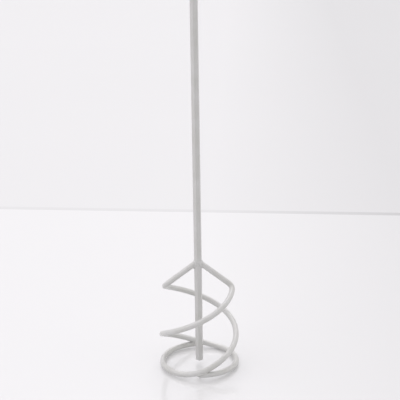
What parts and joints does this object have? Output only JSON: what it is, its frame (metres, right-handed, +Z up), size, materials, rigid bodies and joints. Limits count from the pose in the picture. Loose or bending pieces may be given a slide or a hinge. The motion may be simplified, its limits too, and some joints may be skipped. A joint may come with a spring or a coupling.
{
  "type": "mortar mixing paddle",
  "caption": "Mortar mixing paddle for a drill: a long hexagonal bar with spiral round-rod arms that wind down into a base ring, welded and painted.",
  "frame": {"origin": "on the floor on the bar's axis, at the centre of the ring that the paddle stands on", "axes": "+Z up along the bar towards the drill, rod a's arm points towards -X and rod b's towards +X"},
  "size_m": [0.1152, 0.117, 0.6],
  "materials": {
    "bar_paint": "semi-gloss silver-grey",
    "rod_paint": "semi-gloss silver-grey",
    "weld_paint": "semi-gloss silver-grey over rippled weld"
  },
  "bodies": {
    "root": {"shaft": "bar_paint", "spiral_rod_a": "rod_paint", "spiral_rod_b": "rod_paint", "arm_weld_a": "weld_paint", "arm_weld_b": "weld_paint", "ring_weld_a": "weld_paint", "ring_weld_b": "weld_paint"}
  },
  "joints": []
}
